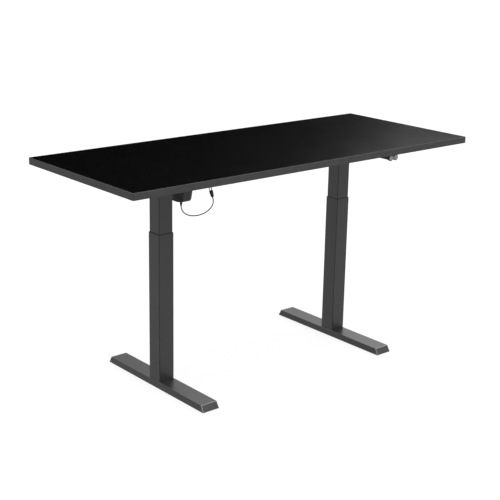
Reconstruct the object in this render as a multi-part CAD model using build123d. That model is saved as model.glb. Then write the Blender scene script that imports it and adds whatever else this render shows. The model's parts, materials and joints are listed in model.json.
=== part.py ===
from build123d import *
import math
import os

# Height adjustable standing desk, millimetres, +Z up.
# Origin: on the floor, under the centre of the worktop. -Y is the user's side.
# The model is drawn part-way up: the worktop at 860 mm, in a travel of 720 to 1180 mm.
#
# Layout: two T-shaped legs stand on the floor. In each, a square inner tube slides up out
# of a square outer tube. One geared motor turns a hexagonal shaft that runs from leg to
# leg; bevel gears in both leg heads turn two lead screws, and each screw climbs in a nut
# on a tube that stands in the foot.

# ---- driving dimensions ----------------------------------------------------------------
TOP_LENGTH = 1600.0
TOP_DEPTH = 650.0
TOP_THICK = 25.0
TOP_Z = 860.0

LEG_X = 443.0            # each column's centre, left and right of the middle
FRAME_Y = 25.0           # the frame sits this far behind the worktop's middle

FOOT_LENGTH = 600.0
FOOT_WIDTH = 72.0
FOOT_TOP_WIDTH = 70.0
FOOT_HEIGHT = 25.0
FOOT_WALL = 2.5
FOOT_SLOPE = 14.0        # how far an end cap slopes in from floor to top
FOOT_EDGE_R = 2.0
LEVELLER_PAD = 3.0       # pad thickness: the gap under the feet
LEVELLER_PAD_R = 17.0
LEVELLER_REACH = 245.0   # from a foot's middle to each of its levelling feet
FOOT_BOLT_OFFSET = 17.0

OUTER_TUBE = 65.0
OUTER_WALL = 1.5
OUTER_TUBE_TOP = 592.5
INNER_TUBE = 60.0
INNER_WALL = 2.0
INNER_TUBE_LOW = 182.0
TUBE_CORNER = 2.5
SLEEVE = 61.8            # what fits closely inside the outer tube
SLEEVE_CORNER = 1.2
SHOE = 61.4              # what slides inside the outer tube
GUIDE_GAP = 0.25         # between a guide's bore and the inner tube

SCREW_R = 8.0            # lead screw, 8 mm lead
SCREW_LOW = 180.0
JOURNAL_R = 5.0
BEARING_R = 13.0
NUT_TUBE_R = 14.0
NUT_TUBE_BORE = 10.5
NUT_FLANGE_R = 20.0
NUT_R = 15.0
NUT_LOW = 516.0
NUT_HEIGHT = 40.0

RAIL_HEIGHT = 40.0
RAIL_FLANGE = 17.0
SHEET = 2.0
RAIL_INNER_HALF = 30.0   # from the frame's middle line to a rail's web
SHAFT_BELOW_TOP = 21.0   # hexagonal shaft's axis below the worktop's underside
SHAFT_R = 4.04           # across the corners, half
HEAD_PLATE_HALF = (55.0, 49.0)
RAIL_BOLT_OFFSET = (42.0, 39.0)
RAIL_SCREW_X = (-60.0, 250.0)
GEARBOX_HALF = (32.0, 29.0)
GEARBOX_WALL = 6.0

ARM_LENGTH = 530.0
ARM_FLANGE = 35.0
ARM_SHEET = 3.0
ARM_LEVEL_HALF = 130.0   # half of the stretch where its web is deepest

MOTOR_X = -353.0
MOTOR_CASE_HALF = 26.0
MOTOR_BOLT_OFFSET = 20.0
MOTOR_CAN_R = 14.5
MOTOR_CAN_LENGTH = 69.0
ROTOR_R = 9.5
ROTOR_SHAFT_R = 2.4
WHEEL_R = 11.0
WORM_R = 5.0
BEVEL_R = 12.0
GEAR_GAP = 0.3

SHROUD_LOW = 700.0       # the motor cover's lower end
SHROUD_LOW_Y = 27.0      # middle of its lower and upper ends
SHROUD_TOP_Y = 21.5
SHROUD_LOW_HALF = (32.0, 33.0)
SHROUD_TOP_HALF = (34.0, 46.5)
SHROUD_CUT = (16.0, 13.0)    # what its cut corners take off each side
SHROUD_WALL = 2.0
PLUG_AT = (-352.0, 27.0)
PLUG_R = 4.4
SPIGOT_R = 4.0

BOX_X = -165.0           # control box centre
BOX_LENGTH = 150.0
BOX_DEPTH = 90.0
BOX_HEIGHT = 28.0

HANDSET_X = 385.0
HANDSET_FRONT = -322.0
HANDSET_WIDTH = 49.0
HANDSET_DEPTH = 60.0
BUTTON_R = 8.5
BUTTON_PITCH = 26.0
BOSS_R = 11.0

EDGE_THICK = 1.5
FIT = 0.05               # running fit of a shaft in its bore, on the radius

MOTOR_LEAD_D = 4.2
CONTROL_LEAD_D = 3.4
CONNECTOR_LENGTH = 27.0

# ---- levels worked out from them -------------------------------------------------------
UNDERSIDE = TOP_Z - TOP_THICK
FOOT_LOW = LEVELLER_PAD
FOOT_TOP = FOOT_LOW + FOOT_HEIGHT
PLATE_TOP = FOOT_TOP + 8.0
SHAFT_Z = UNDERSIDE - SHAFT_BELOW_TOP
RAIL_LOW = UNDERSIDE - RAIL_HEIGHT
HEAD_LOW = RAIL_LOW - 8.0
FOOT_HALF = FOOT_LENGTH / 2
BEAM_HALF = FOOT_HALF - FOOT_SLOPE - 1.0
RAIL_HALF = LEG_X + 49.0
WORM_Y = FRAME_Y + WHEEL_R + WORM_R + GEAR_GAP
CAN_LOW = RAIL_LOW - 2 - MOTOR_CAN_LENGTH
BOX_FRONT = FRAME_Y + RAIL_INNER_HALF + RAIL_FLANGE + 5
BOX_REAR = BOX_FRONT + BOX_DEPTH
BOX_LOW = UNDERSIDE - SHEET - BOX_HEIGHT
INLET_X = BOX_X + 45
BOX_SOCKET_MOUTH = (BOX_X + BOX_LENGTH / 2, BOX_FRONT + 27, BOX_LOW + 14)
HANDSET_LOW = UNDERSIDE - 16
HANDSET_LID = UNDERSIDE - 3
HANDSET_REAR = HANDSET_FRONT + HANDSET_DEPTH
HANDSET_SOCKET_MOUTH = (HANDSET_X, HANDSET_REAR, HANDSET_LOW + 7)
BUTTON_Z = UNDERSIDE - 10
SIDES = {"left": -LEG_X, "right": LEG_X}

# Free cables: route points, straight runs joined by arcs.
MOTOR_LEAD_ROUTE = [
    (-352.0, 27.0, 677.0),
    (-349.0, 28.0, 662.0),
    (-334.0, 32.0, 646.0),
    (-309.0, 39.0, 632.0),
    (-277.0, 48.5, 623.0),
    (-243.5, 59.0, 618.5),
    (-211.0, 69.0, 619.0),
    (-183.0, 77.5, 625.0),
    (-163.0, 83.0, 636.5),
    (-155.0, 85.5, 655.0),
    (-161.0, 84.5, 671.0),
]
CONTROL_LEAD_A_ROUTE = [
    (-176.0, 86.0, 797.0),
    (-175.4, 86.5, 775.0),
    (-176.6, 86.0, 748.0),
    (-177.8, 85.1, 722.0),
    (-177.3, 83.6, 706.8),
    (-174.7, 82.9, 694.6),
]
CONTROL_LEAD_B_ROUTE = [
    (-166.0, 86.0, 797.0),
    (-166.8, 85.5, 774.0),
    (-166.6, 86.4, 749.0),
    (-168.2, 85.0, 724.0),
    (-168.8, 83.5, 709.5),
    (-166.3, 82.9, 697.8),
]

nodes = {}


# ---- small shapes ----------------------------------------------------------------------
def block(x, y, z):
    """Box given by its low and high ends along X, Y and Z."""
    spans = (x, y, z)
    centre = [(low + high) / 2 for low, high in spans]
    return Pos(*centre) * Box(*[high - low for low, high in spans])


def slab(x, y, half, z):
    """Box centred on an upright line through x, y, with its half sizes in plan."""
    half_x, half_y = half
    return block((x - half_x, x + half_x), (y - half_y, y + half_y), z)


def rod(radius, start, end, end_radius=None):
    """Cylinder, or cone when end_radius is given, from one point to another."""
    line = Vector(*end) - Vector(*start)
    plane = Plane(origin=start, z_dir=line)
    ends = (Align.CENTER, Align.CENTER, Align.MIN)
    if end_radius is None:
        return plane * Cylinder(radius, line.length, align=ends)
    return plane * Cone(radius, end_radius, line.length, align=ends)


def square_prism(width, corner, low, high, x, y=FRAME_Y):
    """Upright square bar with rounded corners."""
    return extrude(Pos(x, y, low) * RectangleRounded(width, width, corner), high - low)


def hex_bar(radius, start, end):
    """Hexagonal bar along X at the shaft's place."""
    plane = Plane(origin=(start, FRAME_Y, SHAFT_Z), z_dir=(1, 0, 0))
    return extrude(plane * RegularPolygon(radius, 6), end - start)


def grooves(start, end, reach, count, width, axis_point, axis_dir):
    """Tooth gaps: thin bars spaced around an axis, each from start to end (along, out)."""
    frame = Plane(origin=axis_point, z_dir=axis_dir)
    (a_low, r_low), (a_high, r_high) = start, end
    length = math.hypot(a_high - a_low, r_high - r_low)
    lean = math.degrees(math.atan2(r_high - r_low, a_high - a_low))
    middle = Pos((r_low + r_high) / 2, 0, (a_low + a_high) / 2)
    bar = middle * Rot(0, lean, 0) * Box(reach, width, length * 1.3)
    return [frame * Rot(0, 0, 360 * turn / count) * bar for turn in range(count)]


def keep(name, *solids):
    """Record a node: one solid, or a group of separate solids."""
    nodes[name] = solids[0] if len(solids) == 1 else Compound(children=list(solids))


def bolt(head_r, head_h, shank_r, seat, tip):
    """Hexagon-socket bolt: seat is the point under its head, tip its end."""
    along = (Vector(*tip) - Vector(*seat)).normalized()
    crown = Vector(*seat) - along * head_h
    socket = Plane(origin=crown, z_dir=along)
    socket_bar = extrude(socket * RegularPolygon(head_r * 0.42, 6), head_h * 0.6)
    return rod(head_r, crown, seat) + rod(shank_r, seat, tip) - socket_bar


# ---- feet ------------------------------------------------------------------------------
def foot_prism(x, half_length, inset=0.0):
    """Foot's outer shape, slightly narrower at the top, along Y."""
    low_half = FOOT_WIDTH / 2 - inset
    top_half = FOOT_TOP_WIDTH / 2 - inset
    low = FOOT_LOW - (1.0 if inset else 0.0)
    top = FOOT_TOP - inset
    outline = Polyline(
        (x - low_half, low), (x + low_half, low), (x + top_half, top), (x - top_half, top), close=True
    )
    plane = Plane(origin=(0, FRAME_Y, 0), x_dir=(1, 0, 0), z_dir=(0, -1, 0))
    prism = extrude(plane * make_face(outline), half_length, both=True)
    edges = prism.edges().filter_by(Axis.Y).group_by(Axis.Z)[-1]
    return fillet(edges, FOOT_EDGE_R / 2 if inset else FOOT_EDGE_R)


def leveller_places(x):
    return [(x, FRAME_Y + LEVELLER_REACH * end) for end in (-1, 1)]


def bolt_places(x):
    offset = FOOT_BOLT_OFFSET
    return [(x + offset * i, FRAME_Y + offset * j) for i in (-1, 1) for j in (-1, 1)]


def foot_beam(x):
    """Folded steel channel, open below, with welded nuts for the levelling feet."""
    beam = foot_prism(x, BEAM_HALF) - foot_prism(x, BEAM_HALF + 1.0, FOOT_WALL)
    web = FOOT_TOP - FOOT_WALL
    for place in leveller_places(x):
        beam += rod(8.0, (*place, 10.0), (*place, web + 0.5))
        beam -= rod(4.2, (*place, 9.0), (*place, web))
    for place in bolt_places(x):
        beam -= rod(4.2, (*place, web - 1), (*place, FOOT_TOP + 1))
    return beam


def foot_end_cap(x, end):
    """Plastic wedge that closes a foot's end, with a spigot inside the channel."""
    tip = FOOT_HALF - FOOT_SLOPE
    profile = Polyline(
        (BEAM_HALF, FOOT_LOW), (FOOT_HALF, FOOT_LOW), (tip, FOOT_TOP), (BEAM_HALF, FOOT_TOP), close=True
    )
    wedge_plane = Plane(origin=(x, FRAME_Y, 0), x_dir=(0, end, 0), z_dir=(end, 0, 0))
    wedge = extrude(wedge_plane * make_face(profile), FOOT_WIDTH, both=True)
    wedge &= foot_prism(x, FOOT_HALF)
    wedge = fillet(wedge.edges().filter_by(Axis.X).group_by(Axis.Y)[0 if end < 0 else -1], 0.6)
    spigot_y = sorted((FRAME_Y + end * (BEAM_HALF - 17), FRAME_Y + end * (BEAM_HALF + 1)))
    spigot = block((x - 31.6, x + 31.6), spigot_y, (FOOT_LOW + 3, FOOT_TOP - FOOT_WALL - 0.4))
    return wedge + spigot


def foot_plate(x):
    """Stiffening plate under the channel's web, where the column stands."""
    web = FOOT_TOP - FOOT_WALL
    plate = block((x - 31, x + 31), (FRAME_Y - 45, FRAME_Y + 45), (web - 5, web))
    for place in bolt_places(x):
        plate -= rod(4.2, (*place, web - 6), (*place, web + 1))
    return plate


def leveller(place):
    """Screw-in levelling foot: a pad with chamfered rim, a hexagon and a stud."""
    pad = rod(LEVELLER_PAD_R, (*place, 0), (*place, LEVELLER_PAD))
    pad = chamfer(pad.edges().group_by(Axis.Z)[-1], 0.8)
    collar = extrude(Pos(*place, LEVELLER_PAD) * RegularPolygon(7.0, 6), 3.5)
    stud = rod(4.0, (*place, LEVELLER_PAD), (*place, FOOT_TOP - FOOT_WALL - 1.0))
    return pad + collar + stud


def make_feet():
    bolts = []
    plates = []
    for side, x in SIDES.items():
        keep(f"{side}_foot_beam", foot_beam(x))
        keep(f"{side}_foot_end_caps", foot_end_cap(x, -1), foot_end_cap(x, 1))
        plates.append(foot_plate(x))
        for place, where in zip(leveller_places(x), ("front", "rear")):
            keep(f"{side}_{where}_leveller", leveller(place))
        seat = FOOT_TOP - FOOT_WALL - 5.0
        for place in bolt_places(x):
            bolts.append(bolt(7.0, 4.5, 4.0, (*place, seat), (*place, PLATE_TOP - 1)))
    keep("foot_plates", *plates)
    keep("foot_bolts", *bolts)


# ---- columns ---------------------------------------------------------------------------
def outer_tube(x):
    tube = square_prism(OUTER_TUBE, TUBE_CORNER, FOOT_TOP, OUTER_TUBE_TOP, x)
    bore = OUTER_TUBE - 2 * OUTER_WALL
    return tube - square_prism(bore, TUBE_CORNER - OUTER_WALL, FOOT_TOP - 1, OUTER_TUBE_TOP + 1, x)


def inner_tube_bore(low, high, x):
    bore = INNER_TUBE - 2 * INNER_WALL
    return square_prism(bore, TUBE_CORNER - INNER_WALL, low, high, x)


def inner_tube(x):
    tube = square_prism(INNER_TUBE, TUBE_CORNER, INNER_TUBE_LOW, HEAD_LOW, x)
    return tube - inner_tube_bore(INNER_TUBE_LOW - 1, HEAD_LOW + 1, x)


def base_plate(x):
    """Thick plate welded in the outer tube's foot, tapped for the foot bolts."""
    plate = square_prism(SLEEVE, SLEEVE_CORNER, FOOT_TOP, PLATE_TOP, x)
    for place in bolt_places(x):
        plate -= rod(4.05, (*place, FOOT_TOP - 1), (*place, PLATE_TOP + 1))
    return plate


def nut_tube(x):
    at = (x, FRAME_Y)
    tube = rod(NUT_TUBE_R, (*at, PLATE_TOP), (*at, NUT_LOW))
    return tube - rod(NUT_TUBE_BORE, (*at, PLATE_TOP - 1), (*at, NUT_LOW + 1))


def spindle_nut(x):
    """Flanged nut with a spigot down into its tube. Its bore is a running fit."""
    at = (x, FRAME_Y)
    nut = rod(NUT_FLANGE_R, (*at, NUT_LOW), (*at, NUT_LOW + 8))
    nut += rod(NUT_R, (*at, NUT_LOW + 7), (*at, NUT_LOW + NUT_HEIGHT))
    nut += rod(NUT_TUBE_BORE - 0.1, (*at, NUT_LOW - 16), (*at, NUT_LOW + 1))
    return nut - rod(SCREW_R + FIT, (*at, NUT_LOW - 17), (*at, NUT_LOW + NUT_HEIGHT + 1))


def upper_guide(x):
    """Plastic sleeve in the outer tube's mouth, with a collar on its rim."""
    sleeve = square_prism(SLEEVE, SLEEVE_CORNER, OUTER_TUBE_TOP - 42.5, OUTER_TUBE_TOP + 1, x)
    sleeve += square_prism(OUTER_TUBE, TUBE_CORNER, OUTER_TUBE_TOP, OUTER_TUBE_TOP + 2.5, x)
    bore = INNER_TUBE + 2 * GUIDE_GAP
    return sleeve - square_prism(bore, TUBE_CORNER, OUTER_TUBE_TOP - 60, OUTER_TUBE_TOP + 10, x)


def lower_guide(x):
    """Plastic shoe on the inner tube's lower end."""
    low = INNER_TUBE_LOW - 2
    shoe = square_prism(SHOE, SLEEVE_CORNER, low, low + 30, x)
    shoe -= square_prism(INNER_TUBE, TUBE_CORNER, INNER_TUBE_LOW, low + 31, x)
    return shoe - inner_tube_bore(low - 1, INNER_TUBE_LOW + 1, x)


def spindle(x):
    at = (x, FRAME_Y)
    screw = rod(SCREW_R, (*at, SCREW_LOW), (*at, HEAD_LOW - 0.5))
    screw = chamfer(screw.edges().group_by(Axis.Z)[0], 1.5)
    return screw + rod(JOURNAL_R, (*at, HEAD_LOW - 1), (*at, SHAFT_Z - 6.5))


def spindle_gear(x):
    """Bevel gear on the screw's journal, large end down, apex on the shaft's axis."""
    low = SHAFT_Z - BEVEL_R - GEAR_GAP
    gear = rod(BEVEL_R, (x, FRAME_Y, low), (x, FRAME_Y, low + 6), BEVEL_R - 6)
    gear += rod(8.0, (x, FRAME_Y, RAIL_LOW + 1), (x, FRAME_Y, low + 0.5))
    for gap in grooves((0, BEVEL_R), (6, BEVEL_R - 6), 2.2, 18, 1.6, (x, FRAME_Y, low), (0, 0, 1)):
        gear -= gap
    return gear - rod(JOURNAL_R, (x, FRAME_Y, RAIL_LOW), (x, FRAME_Y, SHAFT_Z))


def make_columns():
    makers = {
        "base_plates": base_plate,
        "nut_tubes": nut_tube,
        "spindle_nuts": spindle_nut,
        "upper_guides": upper_guide,
        "lower_guides": lower_guide,
    }
    for name, maker in makers.items():
        keep(name, *[maker(x) for x in SIDES.values()])
    for side, x in SIDES.items():
        keep(f"{side}_outer_tube", outer_tube(x))
        keep(f"{side}_inner_tube", inner_tube(x))
        keep(f"{side}_spindle", spindle(x))
        keep(f"{side}_spindle_gear", spindle_gear(x))


# ---- frame under the worktop -----------------------------------------------------------
def head_plate(x):
    """Plate welded on the inner tube: carries the bearing, gearbox and rails."""
    plate = slab(x, FRAME_Y, HEAD_PLATE_HALF, (HEAD_LOW, RAIL_LOW))
    plate = fillet(plate.edges().filter_by(Axis.Z), 6.0)
    plate -= rod(BEARING_R, (x, FRAME_Y, HEAD_LOW - 1), (x, FRAME_Y, RAIL_LOW + 1))
    for place in rail_bolt_places(x):
        plate -= rod(3.2, (*place, HEAD_LOW - 1), (*place, RAIL_LOW + 1))
    return plate


def rail_bolt_places(x):
    offset_x, offset_y = RAIL_BOLT_OFFSET
    return [(x + offset_x * i, FRAME_Y + offset_y * j) for i in (-1, 1) for j in (-1, 1)]


def spindle_bearing(x):
    """Bearing in the head plate: two races with a ball ring between, one bought piece."""
    at = (x, FRAME_Y)
    ring = rod(BEARING_R, (*at, HEAD_LOW), (*at, RAIL_LOW))
    ring -= rod(JOURNAL_R + FIT, (*at, HEAD_LOW - 1), (*at, RAIL_LOW + 1))
    groove = rod(10.5, (*at, RAIL_LOW - 0.8), (*at, RAIL_LOW + 1))
    groove -= rod(7.5, (*at, HEAD_LOW), (*at, RAIL_LOW + 2))
    return ring - groove


def gearbox_housing(x):
    """Cast box round one bevel pair, open at the top under its cover."""
    housing = slab(x, FRAME_Y, GEARBOX_HALF, (RAIL_LOW, UNDERSIDE - 4))
    housing = fillet(housing.edges().filter_by(Axis.Z), 4.0)
    inside = [half - GEARBOX_WALL for half in GEARBOX_HALF]
    housing -= slab(x, FRAME_Y, inside, (RAIL_LOW + 3, UNDERSIDE))
    housing -= rod(9.0, (x, FRAME_Y, RAIL_LOW - 1), (x, FRAME_Y, RAIL_LOW + 4))
    return housing - rod(SHAFT_R + 0.6, (x - 40, FRAME_Y, SHAFT_Z), (x + 40, FRAME_Y, SHAFT_Z))


def gear_cover(x, half_x):
    return slab(x, FRAME_Y, (half_x, GEARBOX_HALF[1]), (UNDERSIDE - 4, UNDERSIDE - 1))


def rail(face):
    """Channel rail from leg to leg, flanges outward, with a bolting lug at each end."""
    web = FRAME_Y + face * RAIL_INNER_HALF
    outer = web + face * RAIL_FLANGE
    span_y = sorted((web, outer))
    hollow_y = sorted((web + face * SHEET, outer + face))
    beam = block((-RAIL_HALF, RAIL_HALF), span_y, (RAIL_LOW, UNDERSIDE))
    hollow_x = (ARM_SHEET - RAIL_HALF, RAIL_HALF - ARM_SHEET)
    beam -= block(hollow_x, hollow_y, (RAIL_LOW + SHEET, UNDERSIDE - SHEET))
    for x in SIDES.values():
        for place in rail_bolt_places(x):
            beam -= rod(3.05, (*place, RAIL_LOW - 1), (*place, RAIL_LOW + SHEET + 1))
    for x, y in rail_screw_places():
        beam -= rod(2.6, (x, y, UNDERSIDE - SHEET - 1), (x, y, UNDERSIDE + 1))
    for end in (-1, 1):
        beam -= rod(3.05, *arm_bolt_line(end, face, RAIL_HALF - ARM_SHEET - 1, RAIL_HALF + 1))
    for x in motor_bolt_xs():
        beam -= rod(2.6, (x, web - 3, SHAFT_Z - 12), (x, web + 3, SHAFT_Z - 12))
    return beam


def motor_bolt_xs():
    return (MOTOR_X - MOTOR_BOLT_OFFSET, MOTOR_X + MOTOR_BOLT_OFFSET)


def arm_bolt_line(end, face, near, far):
    y = FRAME_Y + face * (RAIL_INNER_HALF + 9.5)
    z = UNDERSIDE - 18
    return (end * near, y, z), (end * far, y, z)


def rail_screw_places():
    return [(x, FRAME_Y + RAIL_BOLT_OFFSET[1] * face) for x in RAIL_SCREW_X for face in (-1, 1)]


def arm_screw_places(end):
    return [(end * (RAIL_HALF + 22), FRAME_Y + y) for y in (-240, -100, 100, 240)]


def support_arm(end):
    """Angle bracket across the worktop's depth, its web tapered to the ends."""
    half = ARM_LENGTH / 2
    web_low = UNDERSIDE - 30
    tip_low = UNDERSIDE - 13
    level = ARM_LEVEL_HALF
    profile = Polyline(
        (-half, UNDERSIDE), (-half, tip_low), (-level, web_low),
        (level, web_low), (half, tip_low), (half, UNDERSIDE), close=True,
    )
    start = RAIL_HALF if end > 0 else -RAIL_HALF
    plane = Plane(origin=(start, FRAME_Y, 0), x_dir=(0, 1, 0), z_dir=(1, 0, 0))
    web = extrude(plane * make_face(profile), end * ARM_SHEET)
    flange_x = sorted((start, start + end * ARM_FLANGE))
    flange = block(flange_x, (FRAME_Y - half, FRAME_Y + half), (UNDERSIDE - ARM_SHEET, UNDERSIDE))
    lip_x = sorted((start, start + end * 18))
    lip = block(lip_x, (FRAME_Y - level, FRAME_Y + level), (web_low, web_low + ARM_SHEET))
    arm = web + flange + lip
    for x, y in arm_screw_places(end):
        arm -= rod(2.6, (x, y, UNDERSIDE - 4), (x, y, UNDERSIDE + 1))
    for face in (-1, 1):
        arm -= rod(3.2, *arm_bolt_line(end, face, RAIL_HALF - 1, RAIL_HALF + ARM_SHEET + 1))
    return arm


def frame_bolts():
    bolts = []
    for x in SIDES.values():
        for place in rail_bolt_places(x):
            bolts.append(bolt(5.0, 4.0, 3.0, (*place, HEAD_LOW), (*place, RAIL_LOW + SHEET + 6)))
    for end in (-1, 1):
        for face in (-1, 1):
            seat, tip = arm_bolt_line(end, face, RAIL_HALF + ARM_SHEET, RAIL_HALF - 10)
            bolts.append(bolt(5.0, 4.0, 3.0, seat, tip))
    for x in motor_bolt_xs():
        for face in (-1, 1):
            web = FRAME_Y + face * (RAIL_INNER_HALF + SHEET)
            tip = FRAME_Y + face * (RAIL_INNER_HALF - 5)
            bolts.append(bolt(4.2, 3.2, 2.5, (x, web, SHAFT_Z - 12), (x, tip, SHAFT_Z - 12)))
    return bolts


def top_screw_places():
    """Every screw into the worktop: (x, y, level of the sheet it clamps)."""
    places = [(x, y, UNDERSIDE - SHEET) for x, y in rail_screw_places()]
    for end in (-1, 1):
        places += [(x, y, UNDERSIDE - ARM_SHEET) for x, y in arm_screw_places(end)]
    places += [(x, y, UNDERSIDE - SHEET) for x, y in box_screw_places()]
    return places


def top_screw(x, y, seat, length=18.0):
    """Pan-head wood screw with a cross recess, from below."""
    head = fillet(rod(4.5, (x, y, seat - 2.5), (x, y, seat)).edges().group_by(Axis.Z)[0], 1.5)
    for bar in (Box(5.0, 1.0, 2.4), Box(1.0, 5.0, 2.4)):
        head -= Pos(x, y, seat - 2.5) * bar
    tip = seat + length
    shank = rod(2.2, (x, y, seat - 0.5), (x, y, tip - 3))
    return head + shank + rod(2.2, (x, y, tip - 3), (x, y, tip), 0.6)


def make_frame():
    keep("head_plates", *[head_plate(x) for x in SIDES.values()])
    keep("spindle_bearings", *[spindle_bearing(x) for x in SIDES.values()])
    for side, x in SIDES.items():
        keep(f"{side}_gearbox_housing", gearbox_housing(x))
    leg_covers = [gear_cover(x, GEARBOX_HALF[0]) for x in SIDES.values()]
    keep("gearbox_covers", *leg_covers, gear_cover(MOTOR_X, MOTOR_CASE_HALF))
    keep("front_rail", rail(-1))
    keep("rear_rail", rail(1))
    keep("left_support_arm", support_arm(-1))
    keep("right_support_arm", support_arm(1))
    keep("frame_bolts", *frame_bolts())
    screws = [top_screw(*place) for place in top_screw_places()]
    screws += [top_screw(x, y, HANDSET_LID, 15.0) for x, y in handset_screw_places()]
    keep("tabletop_screws", *screws)


# ---- worktop ---------------------------------------------------------------------------
def worktop_core(low, high):
    """The board's outline inside its edge band, from one level to another."""
    length = TOP_LENGTH - 2 * EDGE_THICK
    depth = TOP_DEPTH - 2 * EDGE_THICK
    return extrude(Pos(0, 0, low) * RectangleRounded(length, depth, 2.0), high - low)


def tabletop_board():
    board = worktop_core(UNDERSIDE, TOP_Z)
    for x, y, seat in top_screw_places():
        board -= rod(2.3, (x, y, UNDERSIDE - 1), (x, y, seat + 20))
    for x, y in handset_screw_places():
        board -= rod(2.3, (x, y, UNDERSIDE - 1), (x, y, UNDERSIDE + 14))
    return board


def edge_band():
    band = extrude(Pos(0, 0, UNDERSIDE) * RectangleRounded(TOP_LENGTH, TOP_DEPTH, 3.5), TOP_THICK)
    band = fillet(band.edges().group_by(Axis.Z)[-1], 0.8)
    band = fillet(band.edges().group_by(Axis.Z)[0], 0.8)
    return band - worktop_core(UNDERSIDE - 1, TOP_Z + 1)


# ---- drive: shaft, gears and motor -----------------------------------------------------
def shaft_bevel_gear(x):
    """Bevel gear on the shaft, on the left of its screw, apex on the screw's axis."""
    big = x - BEVEL_R - GEAR_GAP
    gear = rod(BEVEL_R, (big, FRAME_Y, SHAFT_Z), (big + 6, FRAME_Y, SHAFT_Z), BEVEL_R - 6)
    gear += rod(8.0, (x - 22, FRAME_Y, SHAFT_Z), (big + 0.5, FRAME_Y, SHAFT_Z))
    centre = (big, FRAME_Y, SHAFT_Z)
    for gap in grooves((0, BEVEL_R), (6, BEVEL_R - 6), 2.2, 18, 1.6, centre, (1, 0, 0)):
        gear -= gap
    return gear - hex_bar(SHAFT_R, x - 25, x)


def worm_wheel():
    wheel = rod(WHEEL_R, (MOTOR_X - 6, FRAME_Y, SHAFT_Z), (MOTOR_X + 6, FRAME_Y, SHAFT_Z))
    centre = (MOTOR_X, FRAME_Y, SHAFT_Z)
    for gap in grooves((-6, WHEEL_R), (6, WHEEL_R), 3.0, 24, 1.2, centre, (1, 0, 0)):
        wheel -= gap
    wheel += rod(7.0, (MOTOR_X - 10, FRAME_Y, SHAFT_Z), (MOTOR_X + 10, FRAME_Y, SHAFT_Z))
    return wheel - hex_bar(SHAFT_R, MOTOR_X - 11, MOTOR_X + 11)


def worm():
    """Worm on the motor's shaft, its thread drawn as rings."""
    at = (MOTOR_X, WORM_Y)
    turned = rod(ROTOR_SHAFT_R, (*at, RAIL_LOW - 1), (*at, SHAFT_Z + 14))
    turned += rod(3.6, (*at, SHAFT_Z - 11), (*at, SHAFT_Z + 11))
    for turn in range(6):
        low = SHAFT_Z - 10.2 + 3.4 * turn
        turned += rod(3.6, (*at, low), (*at, low + 1.2), WORM_R)
        turned += rod(WORM_R, (*at, low + 1.2), (*at, low + 2.4), 3.6)
    return turned


def motor_gearcase():
    """Cast case round the worm pair, bolted between the rails."""
    low = RAIL_LOW + 1
    half_y = GEARBOX_HALF[1]
    case = slab(MOTOR_X, FRAME_Y, (MOTOR_CASE_HALF, half_y), (low, UNDERSIDE - 4))
    case = fillet(case.edges().filter_by(Axis.Z), 3.0)
    case -= block((MOTOR_X - 15, MOTOR_X + 15), (FRAME_Y - 16, FRAME_Y + 25), (low + 3, UNDERSIDE))
    case -= rod(3.0, (MOTOR_X, WORM_Y, low - 1), (MOTOR_X, WORM_Y, low + 4))
    case -= rod(SHAFT_R + 0.6, (MOTOR_X - 30, FRAME_Y, SHAFT_Z), (MOTOR_X + 30, FRAME_Y, SHAFT_Z))
    for x in motor_bolt_xs():
        for face in (-1, 1):
            near = FRAME_Y + face * (half_y - 7)
            far = FRAME_Y + face * (half_y + 1)
            case -= rod(2.55, (x, near, SHAFT_Z - 12), (x, far, SHAFT_Z - 12))
    return case


def motor_can():
    """Motor body: round can with its magnets inside, mounting flange above, bearing below."""
    at = (MOTOR_X, WORM_Y)
    can = rod(MOTOR_CAN_R, (*at, CAN_LOW), (*at, RAIL_LOW - 2))
    can = fillet(can.edges().group_by(Axis.Z)[0], 2.0)
    can += rod(5.0, (*at, CAN_LOW - 2), (*at, CAN_LOW + 1))
    flange_x = (MOTOR_X - 15, MOTOR_X + 15)
    can += block(flange_x, (WORM_Y - 15, WORM_Y + 15), (RAIL_LOW - 3, RAIL_LOW))
    can += rod(11.0, (*at, RAIL_LOW - 1), (*at, RAIL_LOW + 1))
    can -= rod(ROTOR_R + 0.7, (*at, CAN_LOW + 2), (*at, RAIL_LOW - 5))
    can -= rod(ROTOR_SHAFT_R + FIT, (*at, CAN_LOW - 1), (*at, CAN_LOW + 3))
    return can - rod(ROTOR_SHAFT_R + FIT, (*at, RAIL_LOW - 6), (*at, RAIL_LOW + 2))


def motor_rotor():
    """Wound rotor on its shaft, with the commutator above; the worm is its upper end."""
    at = (MOTOR_X, WORM_Y)
    rotor = rod(ROTOR_SHAFT_R, (*at, CAN_LOW - 1), (*at, RAIL_LOW - 1))
    rotor += rod(ROTOR_R, (*at, CAN_LOW + 10), (*at, RAIL_LOW - 22))
    rotor += rod(5.5, (*at, RAIL_LOW - 20), (*at, RAIL_LOW - 8))
    slot_low = Vector(MOTOR_X, WORM_Y, CAN_LOW)
    for gap in grooves((10, ROTOR_R), (47, ROTOR_R), 2.4, 10, 1.6, slot_low, (0, 0, 1)):
        rotor -= gap
    return rotor


def shroud_section(half, y, z, inset):
    """Rectangle with its corners cut off: the cover's plan at one level."""
    half_x, half_y = half[0] - inset, half[1] - inset
    cut_x, cut_y = SHROUD_CUT
    quarter = [(half_x - cut_x, half_y), (half_x, half_y - cut_y)]
    points = quarter + [(x, -y) for x, y in reversed(quarter)]
    points += [(-x, -y) for x, y in quarter] + [(-x, y) for x, y in reversed(quarter)]
    return Pos(MOTOR_X, y, z) * make_face(Polyline(*points, close=True))


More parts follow.
